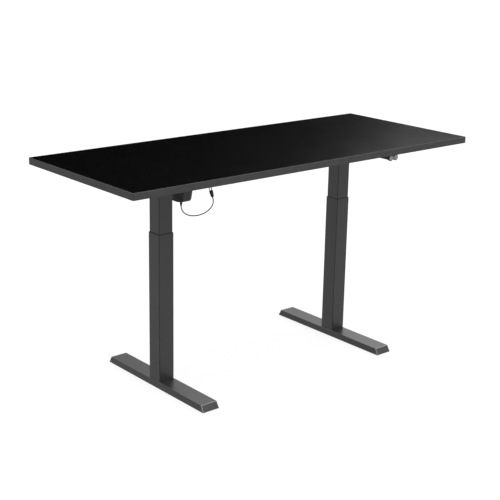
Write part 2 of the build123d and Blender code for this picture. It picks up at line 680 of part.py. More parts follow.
def shroud_body(inset, low, high, bottom_fillet):
    """Eight-sided body that narrows downward, with rounded lower edges."""
    low_face = shroud_section(SHROUD_LOW_HALF, SHROUD_LOW_Y, low, inset)
    top_face = shroud_section(SHROUD_TOP_HALF, SHROUD_TOP_Y, high, inset)
    body = loft([low_face, top_face], ruled=True)
    return fillet(body.edges().group_by(Axis.Z)[0], bottom_fillet)


def motor_shroud():
    """Plastic cover that hangs over the motor under the rails, open at the top."""
    cover = shroud_body(0.0, SHROUD_LOW, RAIL_LOW - 1, 3.0)
    cover -= shroud_body(SHROUD_WALL, SHROUD_LOW + SHROUD_WALL, RAIL_LOW - 0.9, 1.0)
    return cover - rod(PLUG_R, (*PLUG_AT, SHROUD_LOW - 1), (*PLUG_AT, SHROUD_LOW + 3))


def motor_socket():
    at = PLUG_AT
    socket = rod(6.0, (*at, SHROUD_LOW + 2), (*at, SHROUD_LOW + 18))
    return socket - rod(SPIGOT_R + FIT, (*at, SHROUD_LOW + 1), (*at, SHROUD_LOW + 13))


def make_drive():
    keep("hex_drive_shaft", hex_bar(SHAFT_R, -LEG_X - 28, LEG_X + 28))
    keep("shaft_bevel_gears", *[shaft_bevel_gear(x) for x in SIDES.values()])
    keep("worm_wheel", worm_wheel())
    keep("motor_worm", worm())
    keep("motor_gearcase", motor_gearcase())
    keep("motor_can", motor_can())
    keep("motor_rotor", motor_rotor())
    keep("motor_shroud", motor_shroud())
    keep("motor_socket", motor_socket())


# ---- control box -----------------------------------------------------------------------
def box_screw_places():
    half = BOX_LENGTH / 2 + 8
    return [(BOX_X + i * half, y) for i in (-1, 1) for y in (BOX_FRONT + 15, BOX_REAR - 15)]


def box_span(inset):
    half = BOX_LENGTH / 2 - inset
    return (BOX_X - half, BOX_X + half), (BOX_FRONT + inset, BOX_REAR - inset)


def control_box_shell():
    """Plastic lower shell: holds the board; cable gland in front, inlet behind."""
    x_span, y_span = box_span(0.0)
    shell = block(x_span, y_span, (BOX_LOW, UNDERSIDE - SHEET))
    shell = fillet(shell.edges().filter_by(Axis.Z), 8.0)
    shell = fillet(shell.edges().group_by(Axis.Z)[0], 2.0)
    x_in, y_in = box_span(2.2)
    shell -= block(x_in, y_in, (BOX_LOW + 2.2, UNDERSIDE))
    shell += block((-183, -159), (BOX_FRONT + 2, BOX_FRONT + 16), (BOX_LOW - 8, BOX_LOW + 1))
    shell -= slab(INLET_X, BOX_REAR, (12, 3), (BOX_LOW + 7, BOX_LOW + 21))
    return shell - data_socket_hole(BOX_SOCKET_MOUTH, (1, 0, 0))


def control_box_base():
    """Steel base sheet with two screw ears each side, against the worktop."""
    half = BOX_LENGTH / 2
    sheet_x = (BOX_X - half - 16, BOX_X + half + 16)
    sheet = block(sheet_x, (BOX_FRONT, BOX_REAR), (UNDERSIDE - SHEET, UNDERSIDE))
    sheet = fillet(sheet.edges().filter_by(Axis.Z), 5.0)
    for x, y in box_screw_places():
        sheet -= rod(2.6, (x, y, UNDERSIDE - 3), (x, y, UNDERSIDE + 1))
    return sheet


def socket_frame(mouth, outward):
    """Frame of a small modular socket: +Z out of its mouth, +Y up."""
    across = Vector(0, 0, -1).cross(Vector(*outward))
    return Plane(origin=mouth, x_dir=across, z_dir=outward)


def data_socket_hole(mouth, outward):
    """Hole in a housing's wall that takes a modular socket."""
    return socket_frame(mouth, outward) * Pos(0, 0, -1) * Box(14.0, 8.0, 4.0)


def data_socket(mouth, outward):
    """Modular socket for the handset's cable, with a latch slot below its opening."""
    frame = socket_frame(mouth, outward)
    body = frame * Pos(0, 0, -6) * Box(14.0, 8.0, 12.0)
    body -= frame * Pos(0, 0, -4) * Box(10.0, 5.2, 12.0)
    return body - frame * Pos(0, -2.9, -1) * Box(3.6, 1.2, 8.0)


def control_circuit_board():
    """Printed board with its transformer, relays and capacitors."""
    x_in, y_in = box_span(6.0)
    low = BOX_LOW + 4
    board = block(x_in, (y_in[0], y_in[1] - 16), (low, low + 1.6))
    board += block((BOX_X + 20, BOX_X + 56), (BOX_FRONT + 14, BOX_FRONT + 50), (low + 1, low + 20))
    for x in (BOX_X - 50, BOX_X - 28, BOX_X - 6):
        board += block((x, x + 16), (BOX_FRONT + 14, BOX_FRONT + 34), (low + 1, low + 15))
        board += rod(5.0, (x + 8, BOX_FRONT + 50, low + 1), (x + 8, BOX_FRONT + 50, low + 17))
    return board


def control_power_inlet():
    """Two-pin mains inlet in the box's rear wall."""
    mid_z = BOX_LOW + 14
    body = slab(INLET_X, BOX_REAR - 9, (12, 9), (mid_z - 7, mid_z + 7))
    body -= slab(INLET_X, BOX_REAR - 6, (9, 8), (mid_z - 4.5, mid_z + 4.5))
    for offset in (-6.0, 6.0):
        pin = ((INLET_X + offset, BOX_REAR - 15, mid_z), (INLET_X + offset, BOX_REAR - 3, mid_z))
        body += rod(1.2, *pin)
    return body


def make_control_box():
    box_socket = data_socket(BOX_SOCKET_MOUTH, (1, 0, 0))
    handset_socket = data_socket(HANDSET_SOCKET_MOUTH, (0, 1, 0))
    keep("data_sockets", box_socket, handset_socket)
    keep("control_box_shell", control_box_shell())
    keep("control_box_base", control_box_base())
    keep("control_circuit_board", control_circuit_board())
    keep("control_power_inlet", control_power_inlet())


# ---- handset ---------------------------------------------------------------------------
def button_places():
    return [HANDSET_X + offset * BUTTON_PITCH / 2 for offset in (-1, 1)]


def handset_screw_places():
    return [(HANDSET_X + 13 * i, HANDSET_REAR + 8) for i in (-1, 1)]


def button_bore(x):
    """Round pocket that a button slides in."""
    return rod(BUTTON_R + 0.3, (x, HANDSET_FRONT - 1, BUTTON_Z), (x, HANDSET_FRONT + 6.5, BUTTON_Z))


def handset_shell():
    """Moulded shell with a round boss for each button in its front."""
    half = HANDSET_WIDTH / 2
    shell_x = (HANDSET_X - half, HANDSET_X + half)
    shell = block(shell_x, (HANDSET_FRONT + 1, HANDSET_REAR), (HANDSET_LOW, HANDSET_LID))
    shell = fillet(shell.edges().filter_by(Axis.Z), 4.0)
    shell = fillet(shell.edges().group_by(Axis.Z)[0], 2.0)
    for x in button_places():
        shell += rod(BOSS_R, (x, HANDSET_FRONT, BUTTON_Z), (x, HANDSET_FRONT + 9, BUTTON_Z))
    cavity_x = (HANDSET_X - half + 2, HANDSET_X + half - 2)
    cavity_y = (HANDSET_FRONT + 9, HANDSET_REAR - 2)
    shell -= block(cavity_x, cavity_y, (HANDSET_LOW + 2, HANDSET_LID + 1))
    above_y = (HANDSET_FRONT - 1, HANDSET_REAR + 1)
    shell -= block((HANDSET_X - 40, HANDSET_X + 40), above_y, (HANDSET_LID, UNDERSIDE + 9))
    for x in button_places():
        shell -= button_bore(x)
        shell -= rod(3.4, (x, HANDSET_FRONT + 5, BUTTON_Z), (x, HANDSET_FRONT + 10, BUTTON_Z))
    return shell - data_socket_hole(HANDSET_SOCKET_MOUTH, (0, 1, 0))


def handset_back():
    """Lid against the worktop, with a rear tab for two screws."""
    half = HANDSET_WIDTH / 2
    thick = (HANDSET_LID, UNDERSIDE)
    plate = block((HANDSET_X - half, HANDSET_X + half), (HANDSET_FRONT + 1, HANDSET_REAR), thick)
    plate = fillet(plate.edges().filter_by(Axis.Z), 4.0)
    tab = block((HANDSET_X - 20, HANDSET_X + 20), (HANDSET_REAR - 12, HANDSET_REAR + 16), thick)
    plate += fillet(tab.edges().filter_by(Axis.Z), 3.0)
    for x in button_places():
        plate -= button_bore(x)
    for x, y in handset_screw_places():
        plate -= rod(2.6, (x, y, HANDSET_LID - 1), (x, y, UNDERSIDE + 1))
    return plate


def handset_circuit_board():
    """Small board behind the buttons with two tactile switches."""
    front = HANDSET_FRONT + 11
    board_z = (HANDSET_LOW + 2.5, UNDERSIDE - 4)
    board = block((HANDSET_X - 20, HANDSET_X + 20), (front, front + 1.6), board_z)
    for x in button_places():
        board += block((x - 3, x + 3), (front + 1, front + 4), (BUTTON_Z - 3, BUTTON_Z + 3))
    return board


def handset_button(x):
    """Domed round push button with a stem to its switch. It travels 1 mm."""
    front = HANDSET_FRONT - 1
    cap = rod(BUTTON_R, (x, front, BUTTON_Z), (x, HANDSET_FRONT + 5.2, BUTTON_Z))
    cap = fillet(cap.edges().group_by(Axis.Y)[0], 0.9)
    return cap + rod(3.0, (x, HANDSET_FRONT + 5, BUTTON_Z), (x, HANDSET_FRONT + 9.6, BUTTON_Z))


def make_handset():
    keep("handset_shell", handset_shell())
    keep("handset_back", handset_back())
    keep("handset_circuit_board", handset_circuit_board())
    left, right = button_places()
    keep("handset_up_button", handset_button(left))
    keep("handset_down_button", handset_button(right))


# ---- free cables -----------------------------------------------------------------------
def corner_radii(points):
    """The largest arc that each corner's two runs allow, at 0.45 of the shorter run."""
    runs = [Vector(*b) - Vector(*a) for a, b in zip(points, points[1:])]
    radii = []
    for before, after in zip(runs, runs[1:]):
        half_turn = math.radians(before.get_angle(after)) / 2
        radii.append(0.45 * min(before.length, after.length) / math.tan(half_turn))
    return radii


def cable(name, points, diameter):
    """Round cable along straight runs joined by tangent arcs."""
    radii = corner_radii(points)
    path = FilletPolyline(*points, radius=radii)
    start = Plane(origin=points[0], z_dir=Vector(*points[1]) - Vector(*points[0]))
    tube = sweep(start * Circle(diameter / 2), path=path)
    volume_ratio = tube.volume / (math.pi * diameter ** 2 / 4 * path.length)
    print(f"{name}: length {path.length:.1f}, volume ratio {volume_ratio:.4f}")
    print("  radii", [round(radius, 1) for radius in radii])
    return tube


def motor_lead_plug():
    """Round moulded plug: spigot up into the motor's socket, tapered strain relief below."""
    at = PLUG_AT
    cable_end = MOTOR_LEAD_ROUTE[0][2]
    plug = rod(SPIGOT_R, (*at, SHROUD_LOW - 1), (*at, SHROUD_LOW + 12))
    plug += rod(PLUG_R, (*at, cable_end + 4), (*at, SHROUD_LOW))
    return plug + rod(MOTOR_LEAD_D / 2 + 0.5, (*at, cable_end), (*at, cable_end + 4), PLUG_R)


def connector_plane():
    """In-line connector's frame: origin where the motor lead enters, +Z up its axis."""
    end = Vector(*MOTOR_LEAD_ROUTE[-1])
    along = end - Vector(*MOTOR_LEAD_ROUTE[-2])
    return Plane(origin=end, x_dir=(1, 0, 0.35), z_dir=along)


def motor_lead_connector():
    """In-line connector: narrow at the motor lead, wide where the two leads enter."""
    frame = connector_plane()
    entry = RectangleRounded(8.0, 7.0, 2.5)
    shoulder = Pos(0, 0, 2) * RectangleRounded(10.5, 8.5, 2.5)
    wide_end = Pos(0, 0, CONNECTOR_LENGTH) * RectangleRounded(13.5, 10.0, 2.5)
    return frame * (loft([entry, shoulder]) + loft([shoulder, wide_end]))


def make_cables():
    keep("motor_lead", cable("motor_lead", MOTOR_LEAD_ROUTE, MOTOR_LEAD_D))
    keep("control_lead_a", cable("control_lead_a", CONTROL_LEAD_A_ROUTE, CONTROL_LEAD_D))
    keep("control_lead_b", cable("control_lead_b", CONTROL_LEAD_B_ROUTE, CONTROL_LEAD_D))
    keep("motor_lead_plug", motor_lead_plug())
    keep("motor_lead_connector", motor_lead_connector())


# ---- the desk --------------------------------------------------------------------------
def main():
    make_feet()
    make_columns()
    make_frame()
    keep("tabletop_board", tabletop_board())
    keep("tabletop_edge_band", edge_band())
    make_drive()
    make_control_box()
    make_handset()
    make_cables()
    os.makedirs("parts", exist_ok=True)
    for name, shape in nodes.items():
        export_step(shape, f"parts/{name}.step")
    print(len(nodes), "nodes written")


main()
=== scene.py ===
import json
import math

import bmesh
import bpy
from mathutils import Matrix, Vector


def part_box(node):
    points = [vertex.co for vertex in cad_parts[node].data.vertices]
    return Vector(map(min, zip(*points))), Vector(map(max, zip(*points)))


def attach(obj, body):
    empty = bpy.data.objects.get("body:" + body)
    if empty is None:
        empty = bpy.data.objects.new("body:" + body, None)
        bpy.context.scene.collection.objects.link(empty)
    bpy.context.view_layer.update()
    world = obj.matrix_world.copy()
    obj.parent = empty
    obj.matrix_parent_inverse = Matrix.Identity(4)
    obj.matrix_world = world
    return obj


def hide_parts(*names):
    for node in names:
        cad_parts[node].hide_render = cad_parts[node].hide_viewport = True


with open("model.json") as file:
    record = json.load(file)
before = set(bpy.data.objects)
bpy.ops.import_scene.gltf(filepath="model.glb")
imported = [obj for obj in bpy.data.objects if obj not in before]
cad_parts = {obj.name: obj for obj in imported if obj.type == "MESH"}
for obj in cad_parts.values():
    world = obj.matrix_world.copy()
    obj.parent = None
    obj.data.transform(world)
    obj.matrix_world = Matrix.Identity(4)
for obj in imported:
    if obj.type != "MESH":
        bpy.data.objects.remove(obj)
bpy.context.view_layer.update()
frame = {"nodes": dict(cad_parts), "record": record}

# Height adjustable standing desk: the looks. Metres, same frame as the CAD.
# The frame's nodes stay where they are; new pieces ride on the frame's bodies.

scene = bpy.context.scene


# ---- camera ----------------------------------------------------------------------------------
CAMERA_AT = Vector((-2.7173, -3.1456, 1.7098))
CAMERA_YAW = math.radians(-40.374)
CAMERA_PITCH = math.radians(-16.829)
CAMERA_ROLL = math.radians(1.105)
CAMERA_LENS = 80.96


def make_camera():
    data = bpy.data.cameras.new("camera")
    data.sensor_width = 36.0
    data.lens = CAMERA_LENS
    data.clip_start = 0.1
    data.clip_end = 200.0
    turn = Matrix.Rotation(CAMERA_YAW, 4, "Z")
    tilt = Matrix.Rotation(math.radians(90) + CAMERA_PITCH, 4, "X")
    roll = Matrix.Rotation(CAMERA_ROLL, 4, "Z")
    camera = bpy.data.objects.new("camera", data)
    camera.matrix_world = Matrix.Translation(CAMERA_AT) @ turn @ tilt @ roll
    scene.collection.objects.link(camera)
    scene.camera = camera


# ---- cords: routes as in the CAD source ------------------------------------------------------
MOTOR_LEAD_D = 0.0042
CONTROL_LEAD_D = 0.0034
MOTOR_LEAD_ROUTE = [
    (-0.352, 0.027, 0.677),
    (-0.349, 0.028, 0.662),
    (-0.334, 0.032, 0.646),
    (-0.309, 0.039, 0.632),
    (-0.277, 0.0485, 0.623),
    (-0.2435, 0.059, 0.6185),
    (-0.211, 0.069, 0.619),
    (-0.183, 0.0775, 0.625),
    (-0.163, 0.083, 0.6365),
    (-0.155, 0.0855, 0.655),
    (-0.161, 0.0845, 0.671),
]
CONTROL_LEAD_A_ROUTE = [
    (-0.176, 0.086, 0.797),
    (-0.1754, 0.0865, 0.775),
    (-0.1766, 0.086, 0.748),
    (-0.1778, 0.0851, 0.722),
    (-0.1773, 0.0836, 0.7068),
    (-0.1747, 0.0829, 0.6946),
]
CONTROL_LEAD_B_ROUTE = [
    (-0.166, 0.086, 0.797),
    (-0.1668, 0.0855, 0.774),
    (-0.1666, 0.0864, 0.749),
    (-0.1682, 0.085, 0.724),
    (-0.1688, 0.0835, 0.7095),
    (-0.1663, 0.0829, 0.6978),
]


def cord_curve(name, route, diameter):
    data = bpy.data.curves.new(name, "CURVE")
    data.dimensions = "3D"
    data.bevel_depth = 1.0  # times each point's radius, which also keeps the curve's box tight
    data.bevel_resolution = 5
    data.resolution_u = 16
    data.use_fill_caps = True
    spline = data.splines.new("NURBS")
    spline.points.add(len(route) - 1)
    for point, place in zip(spline.points, route):
        point.co = (*place, 1.0)
        point.radius = diameter / 2
    spline.order_u = 3
    spline.use_endpoint_u = True
    piece = bpy.data.objects.new(name, data)
    scene.collection.objects.link(piece)
    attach(piece, "top")
    return piece


def make_cords(plug, connector):
    for name, route, diameter, length, pieces in (
        ("motor_lead", MOTOR_LEAD_ROUTE, MOTOR_LEAD_D, 0.255, [plug, connector]),
        ("control_lead_a", CONTROL_LEAD_A_ROUTE, CONTROL_LEAD_D, 0.103, [connector]),
        ("control_lead_b", CONTROL_LEAD_B_ROUTE, CONTROL_LEAD_D, 0.100, [connector]),
    ):
        cord = cord_curve(f"{name}_cord", route, diameter)
        cord.data.materials.append(materials["cable_jacket"])
        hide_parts(name)


# ---- materials -------------------------------------------------------------------------------
def grey(value):
    return (value, value, value, 1.0)


SPAN_ENDS = ("From Min", "From Max", "To Min", "To Max")


class Finish:
    """A material's node tree, with object coordinates so that it moves with its body."""

    def __init__(self, name):
        self.material = bpy.data.materials.new(name)
        self.material.use_nodes = True
        self.tree = self.material.node_tree
        self.shader = self.tree.nodes["Principled BSDF"]
        self.place = self.add("ShaderNodeTexCoord").outputs["Object"]
        self.last_normal = None

    def add(self, kind, **values):
        node = self.tree.nodes.new(kind)
        for key, value in values.items():
            setattr(node, key, value)
        return node

    def join(self, source, target):
        self.tree.links.new(source, target)

    def stretched(self, scale):
        """Coordinates stretched along an axis, for brushed or drawn metal."""
        node = self.add("ShaderNodeMapping")
        node.inputs["Scale"].default_value = scale
        self.join(self.place, node.inputs["Vector"])
        return node.outputs["Vector"]

    def noise(self, scale, detail=2.0, rough=0.5, place=None):
        node = self.add("ShaderNodeTexNoise")
        node.inputs["Scale"].default_value = scale
        node.inputs["Detail"].default_value = detail
        node.inputs["Roughness"].default_value = rough
        self.join(place or self.place, node.inputs["Vector"])
        return node.outputs["Fac"]

    def cells(self, scale, feature="F1"):
        node = self.add("ShaderNodeTexVoronoi", feature=feature)
        node.inputs["Scale"].default_value = scale
        self.join(self.place, node.inputs["Vector"])
        return node.outputs["Distance"]

    def upward(self):
        """1 on faces that look up, -1 on faces that look down."""
        split = self.add("ShaderNodeSeparateXYZ")
        self.join(self.add("ShaderNodeTexCoord").outputs["Normal"], split.inputs["Vector"])
        return split.outputs["Z"]

    def sum(self, first, second):
        node = self.add("ShaderNodeMath", operation="ADD")
        self.join(first, node.inputs[0])
        self.join(second, node.inputs[1])
        return node.outputs["Value"]

    def ramp(self, source, low, high, start=0.3, end=0.7):
        """Blend between two colours as the source goes from start to end."""
        node = self.add("ShaderNodeValToRGB")
        node.color_ramp.elements[0].position = start
        node.color_ramp.elements[0].color = low
        node.color_ramp.elements[1].position = end
        node.color_ramp.elements[1].color = high
        self.join(source, node.inputs["Fac"])
        return node.outputs["Color"]

    def span(self, source, low, high, start=0.3, end=0.7):
        node = self.add("ShaderNodeMapRange")
        for key, value in zip(SPAN_ENDS, (start, end, low, high)):
            node.inputs[key].default_value = value
        self.join(source, node.inputs["Value"])
        return node.outputs["Result"]

    def colour(self, source, low, high, start=0.3, end=0.7):
        self.join(self.ramp(source, low, high, start, end), self.shader.inputs["Base Color"])

    def roughness(self, source, low, high, start=0.3, end=0.7):
        self.join(self.span(source, low, high, start, end), self.shader.inputs["Roughness"])

    def bump(self, source, strength, distance):
        node = self.add("ShaderNodeBump")
        node.inputs["Strength"].default_value = strength
        node.inputs["Distance"].default_value = distance
        self.join(source, node.inputs["Height"])
        if self.last_normal:
            self.join(self.last_normal, node.inputs["Normal"])
        self.last_normal = node.outputs["Normal"]
        self.join(self.last_normal, self.shader.inputs["Normal"])

    def set(self, **values):
        for key, value in values.items():
            self.shader.inputs[key.replace("_", " ")].default_value = value
        return self.material


def melamine():
    """Black melamine board: a smooth satin upper face and a dull backing underneath."""
    finish = Finish("melamine")
    clouds = finish.noise(9.0, 4.0)
    pearl = finish.noise(1400.0, 3.0, 0.6)
    upward = finish.upward()
    facing = finish.span(upward, 0.0, 1.0, -0.5, 0.5)
    finish.colour(facing, grey(0.011), grey(0.0013), 0.0, 1.0)
    dull_below = finish.span(upward, 0.34, 0.0, -0.5, 0.5)
    satin = finish.span(clouds, 0.118, 0.132)
    finish.join(finish.sum(dull_below, satin), finish.shader.inputs["Roughness"])
    finish.bump(pearl, 0.1, 0.0001)
    return finish.set(Specular_IOR_Level=0.5)


def edge_plastic():
    finish = Finish("edge_plastic")
    grain = finish.noise(2200.0, 2.0)
    finish.colour(finish.noise(30.0, 3.0), grey(0.028), grey(0.034))
    finish.roughness(grain, 0.42, 0.55)
    finish.bump(grain, 0.2, 0.00015)
    return finish.set(Specular_IOR_Level=0.5)


def powder_coat(name, value, texture=0.35):
    """Fine-textured powder coat: peppered bump over a slow orange peel."""
    finish = Finish(name)
    pepper = finish.noise(1900.0, 3.0, 0.65)
    peel = finish.noise(260.0, 2.0)
    slow = finish.noise(5.0, 3.0)
    finish.colour(pepper, grey(value * 0.82), grey(value * 1.25))
    finish.roughness(slow, 0.3, 0.36)
    finish.bump(peel, 0.12, 0.0004)
    finish.bump(pepper, texture, 0.0002)
    return finish.set(Specular_IOR_Level=0.9)


def moulded(name, value, rough=(0.4, 0.5), texture=0.25):
    """Injection moulded plastic with a fine spark-eroded texture."""
    finish = Finish(name)
    spark = finish.cells(1500.0)
    slow = finish.noise(18.0, 3.0)
    finish.colour(slow, grey(value * 0.9), grey(value * 1.1))
    finish.roughness(slow, *rough)
    finish.bump(spark, texture, 0.00015)
    return finish.set(Specular_IOR_Level=0.45)


def metal(name, colour, rough, stretch=(1.0, 1.0, 1.0), scale=400.0, texture=0.15, spots=40.0):
    finish = Finish(name)
    drawn = finish.noise(scale, 3.0, 0.6, finish.stretched(stretch))
    patches = finish.noise(spots, 4.0)
    dark = tuple(0.8 * part for part in colour) + (1.0,)
    finish.colour(patches, dark, (*colour, 1.0))
    finish.roughness(drawn, *rough)
    finish.bump(drawn, texture, 0.0001)
    return finish.set(Metallic=1.0)


def cast_alloy():
    finish = Finish("cast_alloy")
    skin = finish.cells(700.0, "SMOOTH_F1")
    patches = finish.noise(60.0, 5.0, 0.6)
    finish.colour(patches, (0.36, 0.36, 0.37, 1), (0.52, 0.52, 0.53, 1))
    finish.roughness(patches, 0.45, 0.62)
    finish.bump(patches, 0.2, 0.0006)
    finish.bump(skin, 0.3, 0.0003)
    return finish.set(Metallic=1.0)


def circuit_board():
    finish = Finish("circuit_board")
    tracks = finish.cells(260.0, "DISTANCE_TO_EDGE")
    finish.colour(tracks, (0.02, 0.11, 0.03, 1), (0.01, 0.05, 0.015, 1), 0.0, 0.08)
    finish.roughness(finish.noise(90.0), 0.3, 0.45)
    finish.bump(tracks, 0.3, 0.0002)
    return finish.set(Specular_IOR_Level=0.5)


def cable_jacket():
    finish = Finish("cable_jacket")
    skin = finish.noise(900.0, 2.0)
    finish.colour(finish.noise(60.0, 2.0), grey(0.014), grey(0.022))
    finish.roughness(skin, 0.34, 0.46)
    finish.bump(skin, 0.15, 0.0001)
    return finish.set(Specular_IOR_Level=0.5)


def make_materials():
    return {
        "worktop_board": melamine(),
        "edge_plastic": edge_plastic(),
        "powder_coat": powder_coat("powder_coat", 0.016),
        "bare_steel": metal("bare_steel", (0.5, 0.5, 0.5), (0.22, 0.4), (1.0, 1.0, 0.1)),
        "zinc_steel": metal("zinc_steel", (0.56, 0.57, 0.6), (0.28, 0.45)),
        "gear_steel": metal("gear_steel", (0.4, 0.4, 0.41), (0.3, 0.45)),
        "brass": metal("brass", (0.7, 0.5, 0.22), (0.25, 0.4)),
        "cast_case": cast_alloy(),
        "black_plastic": moulded("black_plastic", 0.014),
        "cap_plastic": moulded("cap_plastic", 0.05, (0.3, 0.38), 0.2),
        # pale plastic that paints a highlight along the edges of the foot end caps
        "painted_edge_highlight": moulded("painted_edge_highlight", 0.36, (0.3, 0.4), 0.1),
        "shroud_plastic": moulded("shroud_plastic", 0.03),
        "guide_plastic": moulded("guide_plastic", 0.03, (0.3, 0.4), 0.1),
        "button_plastic": moulded("button_plastic", 0.2, (0.35, 0.45), 0.15),
        "handset_grey": moulded("handset_grey", 0.13, (0.38, 0.48), 0.2),
        "circuit_board": circuit_board(),
        "cable_jacket": cable_jacket(),
    }


def paint_nodes():
    slots = {row["node"]: row["material_slot"] for row in frame["record"]["subparts"]}
    for name, node in frame["nodes"].items():
        slot = "cap_plastic" if name.endswith("foot_end_caps") else slots[name]
        node.data.materials.clear()
        node.data.materials.append(materials[slot])


# ---- detailed pieces -------------------------------------------------------------------------
MM = 0.001
SHARP = math.radians(32)

# Sizes of the details, in millimetres.
PLUG_RADIUS = 4.4
SPIGOT_RADIUS = 4.0
CONNECTOR_CORNER = 2.2
LATCH_LIFT = 4.7
BUTTON_DEPTH = 6.2       # from a button's face to its back
BUTTON_STEM = 3.0
ARROW = 3.2
ARROW_CORNER = 0.6
BOSS_INNER, BOSS_OUTER = 8.75, 9.9
PLATE_RIM = 9.4          # radius at which the fascia's plate ends inside the rings
LOUVRES, LOUVRE_PITCH, LOUVRE_HALF = 8, 6.0, 20.0
BOX_WALL = 4.0
# size of the pale strip that is painted as a highlight on the end caps' edges
HIGHLIGHT_STRIP_WIDTH, HIGHLIGHT_STRIP_INSET, HIGHLIGHT_STRIP_GAP = 1.3, 1.6, 0.2
NEAR = 0.2               # points this close lie on the same edge


def corners(name):
    return [Vector(corner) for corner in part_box(name)]


def axis_frame(origin, along, across=(1.0, 0.0, 0.0)):
    """Matrix of a local frame: +Z along a piece's own axis, +X near a given direction."""
    z_axis = Vector(along).normalized()
    y_axis = z_axis.cross(Vector(across)).normalized()
    x_axis = y_axis.cross(z_axis)
    turn = Matrix((x_axis, y_axis, z_axis)).transposed().to_4x4()
    return Matrix.Translation(origin) @ turn


def circle(radius, level, count=48):
    angles = [2 * math.pi * k / count for k in range(count)]
    return [Vector((radius * math.cos(a), radius * math.sin(a), level)) for a in angles]


def round_rect(half_x, half_y, corner, level, steps=5):
    """Rounded rectangle's points at one level, anticlockwise."""
    points = []
    for turn, (sx, sy) in enumerate(((1, 1), (-1, 1), (-1, -1), (1, -1))):
        for step in range(steps + 1):
            angle = math.pi / 2 * (turn + step / steps)
            x = sx * (half_x - corner) + corner * math.cos(angle)
            y = sy * (half_y - corner) + corner * math.sin(angle)
            points.append(Vector((x, y, level)))
    return points


def skin(bm, loops, frame_matrix):
    """Closed skin through loops of equal count, in millimetres of a local frame."""
    scaled = frame_matrix @ Matrix.Scale(MM, 4)
    rings = [[bm.verts.new(scaled @ point) for point in loop] for loop in loops]
    count = len(rings[0])
    for low, high in zip(rings, rings[1:]):
        for k in range(count):
            after = (k + 1) % count
            bm.faces.new((low[k], low[after], high[after], high[k]))
    bm.faces.new(list(reversed(rings[0])))
    bm.faces.new(rings[-1])


def turned(bm, profile, frame_matrix, count=48):
    """Body turned from (radius, level) pairs, in millimetres."""
    skin(bm, [circle(radius, level, count) for radius, level in profile], frame_matrix)


def hoop(bm, section, frame_matrix, count=56):
    """Ring whose cross section is a closed outline of (radius, level) pairs."""
    scaled = frame_matrix @ Matrix.Scale(MM, 4)
    rings = [[bm.verts.new(scaled @ point) for point in circle(*pair, count)] for pair in section]
    for low, high in zip(rings, rings[1:] + rings[:1]):
        for k in range(count):
            after = (k + 1) % count
            bm.faces.new((low[k], low[after], high[after], high[k]))


def ring(radius, level, height, proud, rise):
    """One ring, or groove if proud is negative, of a turned profile."""
    return [
        (radius, level),
        (radius + proud, level + rise),
        (radius + proud, level + height - rise),
        (radius, level + height),
    ]


def mark_sharp(bm):
    for face in bm.faces:
        face.smooth = True
    for edge in bm.edges:
        if len(edge.link_faces) == 2 and edge.calc_face_angle(0.0) > SHARP:
            edge.smooth = False


def new_piece(name, bm, body, slot, replaced=(), material=None):
    """Turn a bmesh into a piece that rides on a body and takes a slot's finish."""
    bmesh.ops.recalc_face_normals(bm, faces=bm.faces)
    mark_sharp(bm)
    mesh = bpy.data.meshes.new(name)
    bm.to_mesh(mesh)
    bm.free()
    mesh.materials.append(materials[material or slot])
    piece = bpy.data.objects.new(name, mesh)
    scene.collection.objects.link(piece)
    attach(piece, body)
    if replaced:
        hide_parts(*replaced)
    return piece


def make_plug():
    """Round plug: spigot, ringed grip and a strain relief with slots round it."""
    low, high = corners("motor_lead_plug")
    centre = (low + high) / 2
    base = axis_frame((centre.x, centre.y, low.z), (0, 0, 1))
    profile = [(2.6, 0.0), (2.7, 1.0)]
    for step in range(4):
        profile += ring(2.75 + 0.35 * step, 1.2 + 1.5 * step, 1.0, 0.25, 0.2)
    profile += [(4.1, 7.4), (PLUG_RADIUS, 7.8)]
    for step in range(4):
        profile += ring(PLUG_RADIUS, 9.4 + 2.2 * step, 1.2, -0.35, 0.3)
    profile += [(PLUG_RADIUS, 22.6), (4.1, 23.0)]
    profile += [(SPIGOT_RADIUS, 23.1), (SPIGOT_RADIUS, 34.6), (3.6, 35.0)]
    bm = bmesh.new()
    turned(bm, profile, base, 40)
    return new_piece("motor_lead_plug_moulded", bm, "top", "black_plastic", ["motor_lead_plug"])


def make_connector():
    """In-line connector: two halves with grip ribs, a waist between them and a latch."""
    end = Vector(MOTOR_LEAD_ROUTE[-1])
    along = end - Vector(MOTOR_LEAD_ROUTE[-2])
    base = axis_frame(end, along, (1.0, 0.0, 0.35))
    # Half width, half depth and level of each section.
    sections = [(3.2, 2.9, 0.0), (4.0, 3.5, 0.4), (4.1, 3.6, 1.6), (5.1, 4.1, 2.4)]
    for rib in range(4):
        level = 3.4 + 1.9 * rib
        half_x, half_y = 5.35 + 0.12 * rib, 4.25 + 0.06 * rib
        sections += [(half_x - 0.35, half_y - 0.35, level), (half_x, half_y, level + 0.3)]
        sections += [(half_x, half_y, level + 1.1), (half_x - 0.35, half_y - 0.35, level + 1.4)]
    sections += [(5.8, 4.5, 11.6), (5.9, 4.55, 12.8), (5.3, 4.0, 13.1), (5.3, 4.0, 13.7)]
    sections += [(6.3, 4.7, 14.0), (6.7, 5.0, 24.5), (6.6, 4.9, 26.4), (6.1, 4.4, 27.0)]
    bm = bmesh.new()
    skin(bm, [round_rect(x, y, CONNECTOR_CORNER, level) for x, y, level in sections], base)
    latch = [(1.5, 0.35, 9.0), (1.9, 0.65, 9.5), (1.9, 0.65, 17.5), (1.5, 0.3, 18.6)]
    lift = base @ Matrix.Translation((0.0, -LATCH_LIFT * MM, 0.0))
    skin(bm, [round_rect(x, y, 0.25, level) for x, y, level in latch], lift)
    return new_piece("motor_lead_connector_moulded", bm, "top", "black_plastic", ["motor_lead_connector"])


